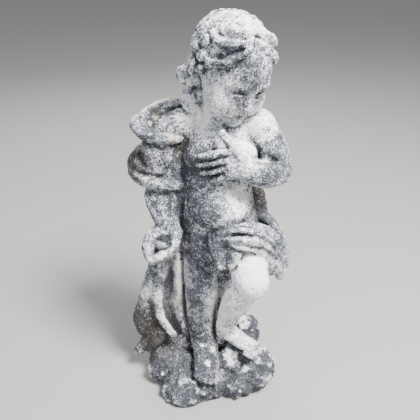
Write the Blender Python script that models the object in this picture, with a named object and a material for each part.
"""A cherub in cast stone: a small child in a cloak, standing on a rock, all cast in one piece.

The figure is modelled the way a sculptor builds it up: masses of clay are laid on one after
another, each melting into the last, then creases are pressed in. The clay is a grid of
distances to its surface, which is skinned at the end and thinned to a light solid.

The layout is in millimetres for a statue 760 mm tall, with the spectator in front at -Y,
X to the spectator's right and Z up. HEIGHT scales it to the real one.
"""

import bpy
import numpy as np
from mathutils import Matrix, Vector

# Driving dimensions, in metres
HEIGHT = 0.76  # from the underside of the rock to the crown of the head

# Fineness of the model
GRAIN = 4.0  # spacing of the clay's grid, in layout millimetres
TRIANGLES = 9800  # the solid's target after thinning

# The block that the clay is worked in, in layout millimetres
BLOCK_LOW = (-215.0, -165.0, -12.0)
BLOCK_HIGH = (190.0, 135.0, 790.0)
FAR = 60.0  # distance given to the grid where there is no clay nearby


class Clay:
    """A lump of clay as distances to its surface on a grid, negative inside."""

    def __init__(self):
        self.axes = [np.arange(lo, hi, GRAIN, dtype=np.float32) for lo, hi in zip(BLOCK_LOW, BLOCK_HIGH)]
        self.depth = np.full([len(axis) for axis in self.axes], FAR, np.float32)

    def window(self, low, high):
        """The part of the grid between two corners, as slices and as open X, Y and Z grids."""
        cut = tuple(
            slice(*np.searchsorted(axis, (lo, hi))) for axis, lo, hi in zip(self.axes, low, high)
        )
        return cut, np.ix_(*[axis[part] for axis, part in zip(self.axes, cut)])

    def lay(self, cut, shape, blend):
        """Adds a shape, melting it into the clay over the blend distance."""
        self.depth[cut] = soft_min(self.depth[cut], shape, blend)

    def carve(self, cut, shape, blend):
        """Takes a shape away, rounding the rim over the blend distance."""
        self.depth[cut] = -soft_min(-self.depth[cut], shape, blend)

    def join(self, other, blend):
        """Adds another lump of clay whole."""
        self.depth = soft_min(self.depth, other.depth, blend)


def soft_min(first, second, blend):
    """The lower of two distances, rounded where they are within the blend of each other."""
    near = np.maximum(blend - np.abs(first - second), 0) / blend
    return np.minimum(first, second) - near * near * blend / 4


def curve(values, spans=6):
    """Points read from a smooth curve through the given points or numbers."""
    rows = np.array(values, float)
    rows = rows.reshape(len(rows), -1)
    if len(rows) < 3:
        share = np.linspace(0, 1, spans + 1)[:, None]
        return rows[0] + (rows[-1] - rows[0]) * share
    ends = np.vstack([2 * rows[0] - rows[1], rows, 2 * rows[-1] - rows[-2]])
    made = []
    for i in range(1, len(ends) - 2):
        before, start, stop, after = ends[i - 1 : i + 3]
        for t in np.arange(spans) / spans:
            made.append(
                start
                + 0.5 * t * (stop - before)
                + t * t * (before - 2.5 * start + 2 * stop - 0.5 * after)
                + 1.5 * t**3 * (start - stop + (after - before) / 3)
            )
    return np.array(made + [rows[-1]])


def as_rows(value, count, width):
    """A single value, or one for each point, as one row for each point."""
    rows = np.array(value, float)
    single = rows.ndim == (0 if width == 1 else 1)
    return np.tile(rows.reshape(1, width), (count, 1)) if single else rows.reshape(count, width)


def sweep(clay, points, wide, thick=None, facing=(0, -1, 0), blend=6, take=False, frame=None, spans=6):
    """A limb, fold or lock: an oval carried along a curve. Facing is the thin side's direction."""
    points = as_rows(points, len(points), 3)
    facing = as_rows(facing, len(points), 3)
    if frame is not None:
        points = np.array([frame @ Vector(p) for p in points])
        facing = np.array([frame.to_3x3() @ Vector(f) for f in facing])
    path = curve(points, spans)
    facing = curve(facing, spans)
    wide = curve(as_rows(wide, len(points), 1), spans)[:, 0]
    thick = wide if thick is None else curve(as_rows(thick, len(points), 1), spans)[:, 0]
    pad = blend + 3 * GRAIN
    reach = max(wide.max(), thick.max()) + pad
    cut, _ = clay.window(path.min(0) - reach, path.max(0) + reach)
    shape = np.full([s.stop - s.start for s in cut], FAR, np.float32)
    for i in range(len(path) - 1):
        start, stop = path[i], path[i + 1]
        length = np.linalg.norm(stop - start)
        if length < 1e-6:
            continue
        room = max(wide[i], wide[i + 1], thick[i], thick[i + 1]) + pad
        part, (x, y, z) = clay.window(np.minimum(start, stop) - room, np.maximum(start, stop) + room)
        along = (stop - start) / length
        face = facing[i] - along * (facing[i] @ along)
        face /= max(np.linalg.norm(face), 1e-6)
        side = np.cross(along, face)
        x, y, z = x - start[0], y - start[1], z - start[2]
        run = x * along[0] + y * along[1] + z * along[2]
        t = np.clip(run / length, 0, 1)
        over = run - t * length
        across = x * side[0] + y * side[1] + z * side[2]
        deep = x * face[0] + y * face[1] + z * face[2]
        a = wide[i] + t * (wide[i + 1] - wide[i])
        b = thick[i] + t * (thick[i + 1] - thick[i])
        ratio = np.sqrt((across / a) ** 2 + (deep / b) ** 2 + (over / b) ** 2)
        slope = np.sqrt((across / a**2) ** 2 + (deep / b**2) ** 2 + (over / b**2) ** 2) + 1e-6
        inner = tuple(slice(p.start - c.start, p.stop - c.start) for p, c in zip(part, cut))
        shape[inner] = np.minimum(shape[inner], ratio * (ratio - 1) / slope)
    (clay.carve if take else clay.lay)(cut, shape, blend)


def ball(clay, centre, radii, blend=8, take=False, frame=None):
    """An egg-shaped mass, with its radii along the frame's own axes."""
    radii = as_rows(radii, 1, 3)[0] if np.ndim(radii) else np.full(3, float(radii))
    middle, turn = np.array(centre, float), np.eye(3)
    if frame is not None:
        middle, turn = np.array(frame @ Vector(centre)), np.array(frame.to_3x3())
    reach = radii.max() + blend + 3 * GRAIN
    cut, (x, y, z) = clay.window(middle - reach, middle + reach)
    x, y, z = x - middle[0], y - middle[1], z - middle[2]
    own = [x * turn[0, k] + y * turn[1, k] + z * turn[2, k] for k in range(3)]
    ratio = np.sqrt(sum((own[k] / radii[k]) ** 2 for k in range(3)))
    slope = np.sqrt(sum((own[k] / radii[k] ** 2) ** 2 for k in range(3))) + 1e-6
    (clay.carve if take else clay.lay)(cut, ratio * (ratio - 1) / slope, blend)


def crease(clay, points, wide, deep, frame=None, spans=6):
    """Presses a soft groove along a curve, or raises a ridge where deep is negative."""
    if frame is not None:
        points = [frame @ Vector(p) for p in points]
    path = curve(points, spans)
    reach = 2.5 * wide
    cut, (x, y, z) = clay.window(path.min(0) - reach, path.max(0) + reach)
    near = np.full([s.stop - s.start for s in cut], 1e9, np.float32)
    for start, stop in zip(path[:-1], path[1:]):
        span = stop - start
        t = (x - start[0]) * span[0] + (y - start[1]) * span[1] + (z - start[2]) * span[2]
        t = np.clip(t / max(span @ span, 1e-9), 0, 1)
        gap = [axis - start[k] - t * span[k] for k, axis in enumerate((x, y, z))]
        near = np.minimum(near, gap[0] ** 2 + gap[1] ** 2 + gap[2] ** 2)
    clay.depth[cut] += deep * np.exp(-near / wide**2)


def own_axes(origin, turn=0, nod=0, tilt=0):
    """Axes of a head, hand or foot: turned towards +X, nodded down and tilted to +X, in degrees."""
    angles = [np.radians(a) for a in (turn, nod, tilt)]
    spun = [Matrix.Rotation(a, 4, axis) for a, axis in zip(angles, "ZXY")]
    return Matrix.Translation(origin) @ spun[0] @ spun[1] @ spun[2]


def mirrored(side, *points):
    """Points for one side of a head or body, from those of the +X side."""
    return [(side * x, y, z) for x, y, z in points]


# The rock: boulders melted together, higher under the bent leg
BOULDERS = (
    # centre, radii
    ((0, -20, 20), (122, 82, 44)),
    ((-58, -86, 14), (50, 44, 42)),
    ((-32, -88, 30), (34, 30, 24)),
    ((-10, -76, 22), (44, 40, 38)),
    ((-98, -28, 34), (42, 44, 46)),
    ((-72, -52, 44), (34, 30, 34)),
    ((-112, -52, 30), (26, 22, 26)),
    ((84, -46, 34), (54, 54, 48)),
    ((62, -34, 62), (42, 40, 48)),
    ((34, -58, 56), (32, 30, 34)),
    ((104, -62, 52), (26, 24, 26)),
    ((54, -88, 26), (36, 24, 26)),
    ((74, 14, 84), (34, 30, 46)),
    ((-34, 36, 46), (74, 42, 54)),
    ((46, 38, 50), (66, 42, 58)),
)


def rock():
    clay = Clay()
    for centre, radii in BOULDERS:
        ball(clay, centre, radii, blend=9)
    # clefts where the boulders part
    crease(clay, [(10, -132, 10), (14, -112, 40), (22, -84, 62)], 8, 6)
    crease(clay, [(-104, -78, 14), (-84, -70, 44), (-56, -62, 66)], 7, 6)
    crease(clay, [(118, -74, 20), (88, -88, 46), (60, -84, 66), (38, -78, 90)], 7, 4)
    crease(clay, [(112, -6, 40), (106, -14, 74), (90, -12, 104)], 8, 5)
    crease(clay, [(-96, -108, 20), (-70, -112, 48), (-40, -100, 56)], 6, 4)
    crease(clay, [(66, -116, 8), (70, -108, 30), (80, -96, 60)], 6, 4)
    return clay


# The child's body
def legs():
    clay = Clay()
    # standing leg, hip to ankle, and its foot
    hip_to_ankle = [
        (-14, 4, 350),
        (-21, -6, 300),
        (-24, -16, 262),
        (-23, -20, 238),
        (-23, -14, 196),
        (-24, -16, 145),
        (-20, -20, 100),
    ]
    sweep(clay, hip_to_ankle, [42, 38, 34, 33, 33, 31, 27], blend=8)
    ball(clay, (-22, -34, 240), (23, 17, 22), blend=14)
    sweep(
        clay,
        [(-18, -18, 88), (-14, -50, 86), (-12, -82, 76), (-12, -102, 70)],
        [27, 27, 27, 25],
        [22, 22, 15, 9],
        facing=(0, 0, 1),
        blend=8,
    )
    for x, y, size in ((8, -112, 9), (-4, -117, 7.5), (-14, -116, 7), (-23, -111, 6.5), (-31, -103, 6)):
        sweep(clay, [(x * 0.9 - 1, y + 16, 70), (x, y, 67)], [size, size], blend=1.5)
    crease(clay, [(6, -40, 262), (2, -44, 244), (-8, -50, 226)], 7, 3)
    crease(clay, [(-44, -32, 118), (-20, -46, 112), (4, -38, 116)], 6, 2)
    # bent leg, hip to knee and knee to ankle, and its foot
    sweep(clay, [(58, 0, 340), (66, -42, 322), (72, -76, 298)], [44, 40, 33], blend=8)
    ball(clay, (75, -84, 290), (30, 27, 30), blend=8)
    shank = Clay()
    knee_to_ankle = [(66, -74, 284), (54, -66, 254), (44, -56, 220), (33, -46, 186), (27, -40, 156)]
    sweep(shank, knee_to_ankle, [30, 31, 27, 22, 18], blend=8)
    ball(shank, (24, -30, 126), (16, 18, 18), blend=8)
    sweep(
        shank,
        [(24, -34, 140), (42, -44, 128), (66, -56, 116), (84, -64, 110)],
        [17, 18, 20, 19],
        [18, 17, 12, 9],
        facing=(0.2, 0, 1),
        blend=8,
    )
    for x, y, size in ((98, -58, 8), (99, -67, 7), (96, -75, 6.5), (90, -82, 6), (82, -87, 5.5)):
        sweep(shank, [(x - 14, y + 6, 110), (x, y, 106)], [size, size], blend=1.5)
    clay.join(shank, 5)
    return clay


FRONT = (0.25, -1, 0)  # the way the trunk faces


def trunk():
    clay = Clay()
    hips_to_neck = [
        (16, 6, 340),
        (13, 2, 382),
        (9, -5, 424),
        (9, -4, 460),
        (13, 2, 503),
        (15, 6, 545),
        (17, 8, 572),
    ]
    sweep(
        clay,
        hips_to_neck,
        [78, 75, 69, 65, 67, 69, 57],
        [50, 53, 54, 49, 46, 44, 36],
        facing=FRONT,
        blend=8,
    )
    ball(clay, (16, -34, 420), (50, 38, 38), blend=14)
    ball(clay, (-16, -28, 528), (34, 24, 28), blend=14)
    ball(clay, (46, -28, 528), (32, 24, 28), blend=14)
    ball(clay, (-18, 34, 344), (38, 34, 38), blend=14)
    ball(clay, (54, 32, 342), (38, 34, 38), blend=14)
    sweep(
        clay,
        [(-54, 6, 576), (-16, 8, 588), (18, 6, 596), (52, 6, 588), (82, 2, 576)],
        [24, 24, 26, 24, 24],
        blend=14,
    )
    sweep(clay, [(14, 8, 584), (12, 4, 610), (18, 0, 640)], [31, 32, 36], blend=8)
    crease(clay, [(-42, -42, 404), (-20, -58, 388), (4, -64, 380), (30, -68, 382)], 7, 8)
    crease(clay, [(31, -74, 461), (31, -60, 459)], 4, 5)
    crease(clay, [(-38, -34, 514), (-14, -50, 506), (12, -50, 514)], 6, 3)
    crease(clay, [(16, -44, 572), (16, -52, 540), (16, -50, 510)], 7, 3)
    return clay


def arms():
    clay = Clay()
    # his right arm, hanging, to the spectator's left
    shoulder_to_wrist = [
        (-58, 4, 574),
        (-76, 4, 530),
        (-88, 2, 490),
        (-92, -2, 455),
        (-91, -14, 420),
        (-84, -32, 384),
    ]
    sweep(clay, shoulder_to_wrist, [28, 29, 30, 33, 30, 19], blend=8)
    # his left arm, bent up to the breast
    sweep(clay, [(82, 2, 576), (102, -4, 540), (114, -16, 502)], [27, 28, 28], blend=8)
    sweep(
        clay,
        [(114, -20, 496), (94, -34, 497), (74, -48, 506), (56, -56, 514)],
        [26, 26, 23, 20],
        blend=8,
    )
    crease(clay, [(66, -50, 536), (90, -40, 526), (114, -30, 521)], 5, 7)
    return clay


def left_hand():
    """Flat on the breast, with the thumb raised."""
    clay = Clay()
    sweep(
        clay,
        [(60, -54, 513), (44, -60, 524), (28, -64, 528)],
        [19, 25, 27],
        [17, 13, 10],
        facing=(0.1, -1, 0.1),
        blend=4,
    )
    for knuckle, tip, size in (
        ((27, -66, 552), (-22, -60, 540), 7),
        ((23, -67, 537), (-24, -59, 524), 7),
        ((21, -66, 522), (-18, -56, 509), 7),
        ((25, -63, 507), (0, -55, 496), 7),
    ):
        middle = [(a + b) / 2 - (4 if axis == 1 else 0) for axis, (a, b) in enumerate(zip(knuckle, tip))]
        sweep(clay, [knuckle, middle, tip], [size, size, size - 1.5], blend=1)
    for back, front in (
        ((16, -72, 544), (-24, -62, 532)),
        ((12, -72, 529), (-26, -60, 516)),
        ((14, -70, 514), (-18, -58, 502)),
    ):
        crease(clay, [back, front], 2.5, 6)
    sweep(clay, [(46, -62, 542), (36, -64, 557), (26, -62, 568), (15, -58, 580)], [12, 9.5, 8, 7], blend=3)
    return clay


def right_hand():
    """A fist round something lost, with the fingers' ends broken away."""
    clay = Clay()
    sweep(clay, [(-82, -30, 392), (-86, -36, 370)], [20, 24], [16, 16], blend=6)
    ball(clay, (-93, -38, 356), (29, 15, 25), blend=8)
    sweep(
        clay,
        [(-82, -38, 384), (-106, -42, 380), (-121, -50, 362), (-121, -57, 342), (-114, -61, 328)],
        [12, 13, 12, 11, 8],
        blend=5,
    )
    sweep(
        clay,
        [(-112, -61, 330), (-98, -65, 341), (-84, -63, 353), (-71, -54, 367), (-66, -42, 382)],
        [8, 9, 9, 10, 10],
        blend=4,
    )
    ball(clay, (-92, -60, 366), (15, 22, 14), blend=4, take=True)
    crease(clay, [(-134, -46, 362), (-126, -66, 352), (-112, -70, 348)], 3, 3)
    crease(clay, [(-134, -52, 344), (-124, -72, 336), (-110, -74, 338)], 3, 3)
    return clay


# The head, in its own axes: the face looks along -Y and the crown is at +Z
HEAD = own_axes((32, -14, 672), turn=30, nod=26, tilt=6)


def head():
    clay = Clay()
    ball(clay, (0, 8, 18), (59, 70, 62), blend=8, frame=HEAD)
    ball(clay, (0, -18, -22), (49, 46, 52), blend=18, frame=HEAD)
    ball(clay, (0, -48, -62), (14, 13, 13), blend=12, frame=HEAD)
    for side in (-1, 1):
        ball(clay, (side * 28, -34, -32), (24, 24, 25), blend=12, frame=HEAD)
        ball(clay, (side * 21, -68, -3), (14, 12, 9), blend=7, take=True, frame=HEAD)
        ball(clay, (side * 20, -49, -6), (12.5, 12, 11), blend=5, frame=HEAD)
        sweep(
            clay,
            mirrored(side, (8, -59, 11), (21, -60, 15), (36, -48, 9)),
            [3, 4, 3],
            blend=8,
            frame=HEAD,
        )
        sweep(
            clay,
            mirrored(side, (10, -57, -5), (20, -61.5, -1), (30, -54, -5)),
            [1.8, 2.4, 1.8],
            blend=3,
            frame=HEAD,
        )
        ball(clay, (side * 6.5, -62, -25), (5, 5.5, 4.5), blend=3, frame=HEAD)
    sweep(clay, [(0, -58, 4), (0, -63, -10), (0, -69, -22)], [5, 5.5, 7], blend=6, frame=HEAD)
    upper_lip = [(-14, -53, -40), (-5, -61, -37), (0, -61, -38.5), (5, -61, -37), (14, -53, -40)]
    sweep(clay, upper_lip, [2, 3.8, 3.5, 3.8, 2], blend=3, frame=HEAD)
    sweep(clay, [(-9, -56, -45), (0, -60, -47.5), (9, -56, -45)], [3, 4.6, 3], blend=3, frame=HEAD)
    crease(clay, [(-15, -55, -41), (0, -65, -42.5), (15, -55, -41)], 2.6, 3.4, frame=HEAD)
    return clay


def on_scalp(across, up, lift=0):
    """A place on the scalp, by degrees round from the face and up from the ears."""
    a, b = np.radians(across), np.radians(up)
    radii = (59 + lift, 71 + lift, 63 + lift)
    return (
        radii[0] * np.sin(a) * np.cos(b),
        8 - radii[1] * np.cos(a) * np.cos(b),
        18 + radii[2] * np.sin(b),
    )


# Locks swept aside from the parting, as degrees round and up on the scalp, their size and
# their lift from the scalp
SWAGS = (
    ([(-22, 58), (-42, 47), (-60, 37), (-80, 33), (-100, 36)], 7.5, 5),
    ([(-26, 50), (-40, 32), (-54, 18), (-70, 8), (-86, 6)], 7, 3),
    ([(-20, 70), (-50, 62), (-80, 52), (-108, 46)], 9, 2),
    ([(-16, 60), (8, 55), (30, 43), (50, 27), (70, 12), (88, -4)], 8, 0),
    ([(-8, 72), (30, 66), (56, 52), (78, 34), (98, 14)], 10, 2),
)
# Curls round the ears and the nape: degrees round and up, lift from the scalp, size
CURLS = (
    (-98, 22, 3, 11),
    (-90, 6, 3, 10),
    (-106, 6, 4, 11),
    (-86, -12, 2, 9),
    (-100, -14, 4, 11),
    (-112, -34, 3, 13),
    (-134, -30, 3, 13),
    (84, -12, 0, 10),
    (98, -28, 1, 12),
    (118, -34, 2, 12),
    (142, -34, 3, 13),
    (164, -36, 3, 13),
    (186, -36, 3, 13),
    (206, -34, 3, 12),
)


def hair():
    clay = Clay()
    ball(clay, (0, 15, 25), (61, 70, 60), blend=4, frame=HEAD)
    for places, size, lift in SWAGS:
        along = np.linspace(-1, 1, len(places))
        sweep(
            clay,
            [on_scalp(a, b, lift) for a, b in places],
            list(size * (1 - 0.4 * along**2)),
            blend=1.5,
            frame=HEAD,
        )
    for slot, deep in (
        (((-32, 50), (-46, 39), (-62, 27), (-78, 20)), 7),
        (((-34, 30), (-48, 15), (-62, 4)), 5),
        (((-26, 66), (-50, 54), (-74, 44)), 4),
        (((0, 50), (24, 40), (44, 25)), 4),
        (((14, 62), (40, 52), (64, 36)), 4),
    ):
        crease(clay, [on_scalp(a, b, 7) for a, b in slot], 4.5, deep, frame=HEAD)
    for k in range(8):
        around = 118 + k * 18
        places = [(around - 12, 56), (around, 34), (around + 5, 4), (around - 4, -30)]
        sweep(clay, [on_scalp(a, b, 1) for a, b in places], [6, 11, 11, 7], blend=4, frame=HEAD)
    for around, up, lift, size in CURLS:
        ball(clay, on_scalp(around, up, lift), size, blend=2, frame=HEAD)
    # the knot at the nape, and a lock that hangs from it
    ball(clay, (-46, 16, 659), (18, 17, 17), blend=2)
    ball(clay, (-30, 40, 662), (22, 22, 18), blend=5)
    sweep(
        clay,
        [(-32, 12, 646), (-41, 0, 630), (-38, -8, 614), (-24, -10, 604)],
        [10, 12, 12, 8],
        blend=1.5,
    )
    sweep(clay, [(-20, 16, 650), (-22, 6, 622), (-16, 0, 600)], [15, 14, 9], blend=4)
    crease(clay, [(-64, 12, 662), (-56, 1, 652), (-44, -2, 650), (-34, 0, 658), (-38, 2, 668)], 3, 4)
    crease(clay, [(-52, 1, 670), (-44, -2, 662)], 3, 3)
    return clay


# The cloak and the cloth round the hips
def cloak():
    clay = Clay()
    # the fall of cloth behind him, in folds that fan from the bunch on his shoulder
    sweep(
        clay,
        [
            (-4, 28, 604),
            (0, 46, 584),
            (2, 54, 530),
            (2, 56, 462),
            (18, 57, 380),
            (12, 57, 300),
            (-10, 55, 220),
            (-20, 52, 140),
            (-24, 46, 50),
        ],
        [50, 60, 72, 78, 94, 102, 100, 98, 94],
        [10, 13, 13, 14, 14, 16, 18, 19, 22],
        blend=8,
    )
    for k, size in enumerate((9, 13, 9, 14, 10, 13)):
        x = 32 * k - 80
        fold = [
            (0.45 * x - 26, 46, 600),
            (0.75 * x - 10, 60, 512),
            (1.05 * x + 12, 66, 400),
            (1.15 * x + 4, 69, 290),
            (1.1 * x - 16, 65, 170),
            (x - 18, 56, 60),
        ]
        sweep(clay, fold, [4, 0.6 * size, 0.8 * size, size, size, 0.9 * size], blend=10)
    sweep(clay, [(70, 26, 600), (52, 50, 560), (6, 66, 520), (-44, 60, 500)], [4, 8, 9, 5], blend=10)
    # the bunch on his right shoulder, with a hollow between it and the neck
    rim = [
        (-44, 38, 598),
        (-82, 32, 601),
        (-110, 20, 592),
        (-130, 0, 583),
        (-131, -14, 575),
        (-116, -28, 567),
        (-94, -34, 564),
        (-72, -34, 562),
        (-56, -26, 560),
    ]
    sweep(clay, rim, [12, 12, 12, 12, 12, 11, 10, 9, 6], blend=4)
    sweep(
        clay,
        [(-60, 36, 582), (-98, 18, 576), (-118, -2, 570), (-100, -16, 566)],
        [16, 18, 16, 14],
        blend=8,
    )
    crease(clay, [(-140, -14, 570), (-118, -36, 564), (-92, -42, 570)], 4, 3)
    # cloth over the upper arm
    sweep(clay, [(-84, -2, 566), (-92, -6, 536), (-96, -4, 506)], [32, 35, 34], [28, 28, 30], blend=8)
    sweep(clay, [(-116, -16, 556), (-110, -28, 530), (-98, -30, 502)], [5, 7, 4], blend=7)
    sweep(clay, [(-74, -24, 552), (-78, -34, 526), (-92, -32, 502)], [5, 7, 4], blend=7)
    # the loop round his elbow
    loop = [
        (-108, 36, 530),
        (-134, 14, 513),
        (-141, -2, 498),
        (-133, -14, 485),
        (-112, -26, 479),
        (-84, -32, 474),
        (-58, -26, 470),
    ]
    sweep(clay, loop, [14, 16, 16, 15, 14, 11, 8], blend=4)
    sweep(clay, [(-100, 36, 500), (-122, 14, 492), (-116, -10, 486)], [16, 18, 15], blend=8)
    sweep(
        clay,
        [(-102, 34, 540), (-122, 12, 526), (-133, -4, 514), (-130, -18, 505), (-116, -28, 500)],
        [10, 11, 11, 9, 5],
        blend=4,
    )
    crease(clay, [(-140, 16, 520), (-150, -6, 506), (-140, -26, 496), (-118, -38, 490)], 4, 3)
    crease(clay, [(-156, 0, 500), (-148, -22, 484), (-122, -40, 474), (-88, -44, 470)], 3, 2.5)
    # cloth caught between the arm and his side
    sweep(
        clay,
        [(-60, -6, 548), (-62, -8, 500), (-62, -8, 450), (-60, -6, 392)],
        [15, 18, 18, 16],
        blend=10,
    )
    # folds in the cloth over the forearm
    sweep(
        clay,
        [(-112, -12, 470), (-118, -22, 448), (-110, -34, 424), (-94, -40, 404)],
        [7, 8, 8, 5],
        blend=6,
    )
    sweep(clay, [(-78, -24, 466), (-72, -34, 440), (-78, -42, 412)], [6, 8, 6], blend=6)
    crease(clay, [(-124, -22, 462), (-104, -38, 450), (-76, -40, 446)], 4, 2)
    crease(clay, [(-120, -26, 436), (-100, -42, 428), (-74, -42, 430)], 4, 1.6)
    return clay


def skirt():
    clay = Clay()
    lean = (0.35, -1, 0.5)
    over_thigh = [
        (-2, -56, 380),
        (34, -72, 397),
        (74, -64, 394),
        (108, -32, 362),
        (130, -8, 318),
        (141, 0, 272),
        (140, 2, 250),
    ]
    sweep(clay, over_thigh, [10, 15, 18, 19, 20, 15, 8], [7, 8, 9, 9, 9, 8, 6], facing=lean, blend=4)
    sweep(
        clay,
        [(8, -66, 370), (42, -80, 386), (78, -74, 376), (106, -48, 332), (116, -26, 284)],
        [9, 9, 12, 15, 9],
        [8, 8, 9, 9, 6],
        facing=lean,
        blend=3,
    )
    sweep(
        clay,
        [(92, -42, 356), (116, -22, 312), (128, -10, 268)],
        [14, 20, 14],
        [8, 9, 6],
        facing=lean,
        blend=4,
    )
    sweep(
        clay,
        [(70, 30, 390), (112, 28, 366), (140, 20, 320), (148, 10, 282), (140, 4, 246)],
        [18, 20, 18, 14, 8],
        [12, 12, 11, 10, 7],
        facing=(1, 0.2, 0.6),
        blend=6,
    )
    sweep(
        clay,
        [(124, -14, 312), (136, -6, 276), (139, -2, 250)],
        [14, 14, 8],
        [9, 9, 6],
        facing=lean,
        blend=6,
    )
    # the flap over the groin
    sweep(
        clay,
        [(22, -66, 384), (16, -74, 352), (20, -74, 326)],
        [22, 19, 12],
        [8, 8, 7],
        facing=(0, -1, 0.3),
        blend=4,
    )
    sweep(clay, [(-4, -62, 376), (2, -74, 350), (14, -80, 330)], [5, 6, 5], blend=4)
    sweep(
        clay,
        [(36, -74, 382), (40, -80, 356), (34, -80, 330)],
        [12, 12, 7],
        [8, 8, 6],
        facing=(0, -1, 0.3),
        blend=5,
    )
    crease(clay, [(26, -82, 374), (14, -84, 350), (18, -84, 326)], 4, 4)
    # folds drawn from the groin over the thigh to the hanging end
    for rise, size in ((14, 5), (-4, 6), (-22, 5)):
        fold = [
            (8, -70, 388 + rise / 2),
            (48, -84, 396 + rise),
            (88, -66, 376 + rise),
            (120, -34, 330 + rise),
            (138, -10, 280),
        ]
        sweep(clay, fold, [3, size, size, size, 4], blend=4)
    for rise, depth in ((5, 4), (-13, 4)):
        groove = [
            (8, -76, 384 + rise / 2),
            (50, -90, 394 + rise),
            (92, -70, 374 + rise),
            (124, -38, 326 + rise),
            (140, -14, 276),
        ]
        crease(clay, groove, 4, depth)
    return clay


def hanging_cloth():
    """Folds that fall from his right arm to the rock."""
    clay = Clay()
    sweep(
        clay,
        [(-84, 24, 400), (-92, 20, 330), (-106, 12, 258), (-120, 8, 190), (-128, 2, 130), (-122, -2, 92)],
        [22, 24, 30, 37, 42, 34],
        [16, 16, 17, 19, 22, 20],
        blend=8,
    )
    sweep(
        clay,
        [(-104, 10, 310), (-124, 4, 240), (-146, 2, 180), (-161, 0, 136), (-154, -8, 108)],
        [8, 11, 13, 13, 11],
        blend=5,
    )
    sweep(
        clay,
        [(-74, 18, 390), (-78, 14, 300), (-80, 10, 210), (-78, 4, 130), (-76, -6, 70)],
        [28, 34, 42, 47, 48],
        [12, 13, 15, 18, 20],
        facing=(0, -1, 0.2),
        blend=8,
    )
    sweep(
        clay,
        [(-96, -2, 324), (-110, -7, 270), (-117, -14, 215), (-110, -24, 160), (-84, -38, 122)],
        [6, 7, 8, 9, 8],
        blend=16,
    )
    crease(
        clay,
        [(-84, -16, 330), (-94, -20, 270), (-98, -26, 210), (-88, -34, 155), (-70, -40, 128)],
        7,
        5,
    )
    sweep(clay, [(-68, 6, 350), (-68, 0, 280), (-66, -4, 200), (-58, -14, 112)], [6, 7, 8, 8], blend=6)
    sweep(clay, [(-112, -2, 98), (-142, -8, 78), (-166, -12, 50)], [22, 17, 11], blend=6)
    sweep(clay, [(-104, -20, 120), (-124, -26, 92), (-138, -24, 66)], [14, 14, 9], blend=5)
    crease(clay, [(-128, -14, 250), (-138, -20, 190), (-132, -30, 140), (-118, -36, 108)], 5, 4)
    return clay


def statue():
    """The whole figure as one lump of clay, cut flat below."""
    clay = legs()
    clay.join(trunk(), 8)
    clay.join(arms(), 6)
    clay.join(left_hand(), 0.8)
    clay.join(head(), 6)
    clay.join(hair(), 3)
    clay.join(cloak(), 4)
    # the hollow of the bunch, between its rim and the neck
    sweep(
        clay,
        [(-62, 22, 610), (-84, 10, 603), (-100, -2, 594), (-106, -14, 582)],
        [6, 9, 10, 7],
        blend=4,
        take=True,
    )
    clay.join(right_hand(), 2)
    clay.join(hanging_cloth(), 4)
    clay.join(skirt(), 3)
    clay.join(rock(), 5)
    # where the hanging cloth meets the standing leg
    crease(clay, [(-59, -18, 320), (-60, -22, 250), (-59, -24, 180), (-56, -30, 116)], 5, 5)
    z = clay.axes[2][None, None, :]
    clay.depth = np.maximum(clay.depth, -z)
    return clay


def fill_pinches(inside):
    """Fills grid cells where two surfaces would meet at a point or an edge."""
    corners = list(np.ndindex(2, 2, 2))
    pinched = np.zeros(256, bool)
    for code in range(256):
        for kind in (0, 1):
            members = [c for k, c in enumerate(corners) if (code >> k & 1) == kind]
            reached = members[:1]
            for place in reached:
                reached += [
                    c for c in members if c not in reached and sum(map(abs, np.subtract(c, place))) == 1
                ]
            pinched[code] |= len(reached) < len(members)
    size = [n - 1 for n in inside.shape]
    while True:
        code = np.zeros(size, np.int16)
        for k, corner in enumerate(corners):
            code += inside[tuple(slice(o, o + n) for o, n in zip(corner, size))].astype(np.int16) << k
        cells = np.argwhere(pinched[code])
        if not len(cells):
            return inside
        for corner in corners:
            inside[tuple((cells + corner).T)] = True


def outer_body(points, faces):
    """The largest connected surface alone, without crumbs or hollows sealed inside."""
    label = np.arange(len(points))
    while True:
        low = label.copy()
        np.minimum.at(low, faces.ravel(), np.repeat(label[faces].min(1), 4))
        low = low[low]
        if (low == label).all():
            break
        label = low
    kept = label == np.bincount(label).argmax()
    number = np.cumsum(kept) - 1
    return points[kept], number[faces[kept[faces[:, 0]]]]


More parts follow.
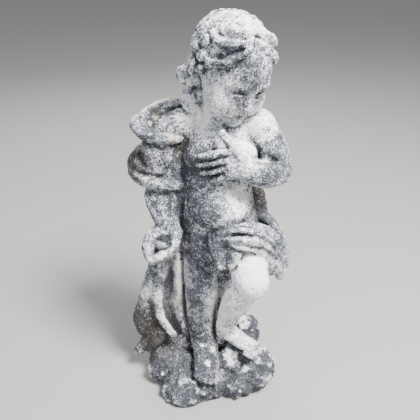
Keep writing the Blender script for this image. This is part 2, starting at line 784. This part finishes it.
def skin(clay):
    """Points and four-sided faces of the clay's surface, one point in each grid cell it crosses."""
    inside = clay.depth < 0
    inside[[0, -1]] = inside[:, [0, -1]] = inside[:, :, [0, -1]] = False
    inside = fill_pinches(inside)
    depth = np.where(inside, np.minimum(clay.depth, -0.05), np.maximum(clay.depth, 1e-3))
    cells = tuple(n - 1 for n in depth.shape)
    total, count = np.zeros((*cells, 3), np.float32), np.zeros(cells, np.float32)
    corners = [tuple(slice(o, o + n) for o, n in zip(offset, cells)) for offset in np.ndindex(2, 2, 2)]
    offsets = list(np.ndindex(2, 2, 2))
    for axis in range(3):
        for first, offset in enumerate(offsets):
            if offset[axis]:
                continue
            second = first + (4, 2, 1)[axis]
            a, b = depth[corners[first]], depth[corners[second]]
            crossed = inside[corners[first]] != inside[corners[second]]
            share = np.where(crossed, a / np.where(crossed, a - b, 1), 0)
            for k in range(3):
                total[..., k] += crossed * (offset[k] + (share if k == axis else 0))
            count += crossed
    used = count > 0
    number = np.cumsum(used.ravel()).reshape(cells) - 1
    points = total[used] / count[used][:, None] + np.argwhere(used)
    points = points * GRAIN + [axis[0] for axis in clay.axes]
    faces = []
    for axis in range(3):
        other = [k for k in range(3) if k != axis]
        low = [slice(None)] * 3
        high = [slice(None)] * 3
        low[axis], high[axis] = slice(None, -1), slice(1, None)
        edge = inside[tuple(low)] != inside[tuple(high)]
        at = np.argwhere(edge)
        at = at[(at[:, other] > 0).all(1)]
        leaving = inside[tuple(low)][tuple(at.T)]
        ring = []
        for da, db in ((-1, -1), (0, -1), (0, 0), (-1, 0)):
            cell = at.copy()
            cell[:, other[0]] += da
            cell[:, other[1]] += db
            ring.append(number[tuple(cell.T)])
        quad = np.stack(ring, 1)
        turned = leaving if axis != 1 else ~leaving
        faces.append(np.where(turned[:, None], quad, quad[:, ::-1]))
    return outer_body(points, np.vstack(faces))


def cast(name, points, faces):
    """A Blender object from the skinned clay, thinned to a light solid."""
    mesh = bpy.data.meshes.new(name)
    mesh.from_pydata(points * (HEIGHT / points[:, 2].max()), [], faces.tolist())
    mesh.validate()
    mesh.shade_smooth()
    obj = bpy.data.objects.new(name, mesh)
    bpy.context.scene.collection.objects.link(obj)
    thin = obj.modifiers.new("thin", "DECIMATE")
    thin.ratio = min(1.0, TRIANGLES / (2 * len(faces)))
    thin.use_collapse_triangulate = True
    return obj


def cast_stone():
    """Weathered cast stone, pale grey where the rain washes it and dark where it lies wet."""
    material = bpy.data.materials.new("cast_stone")
    material.use_nodes = True
    shader = material.node_tree.nodes["Principled BSDF"]
    shader.inputs["Base Color"].default_value = (0.42, 0.42, 0.43, 1)
    shader.inputs["Roughness"].default_value = 0.9
    shader.inputs["Metallic"].default_value = 0
    return material


def main():
    for old in list(bpy.data.objects):
        bpy.data.objects.remove(old)
    figure = cast("cherub_statue", *skin(statue()))
    figure.data.materials.append(cast_stone())


main()
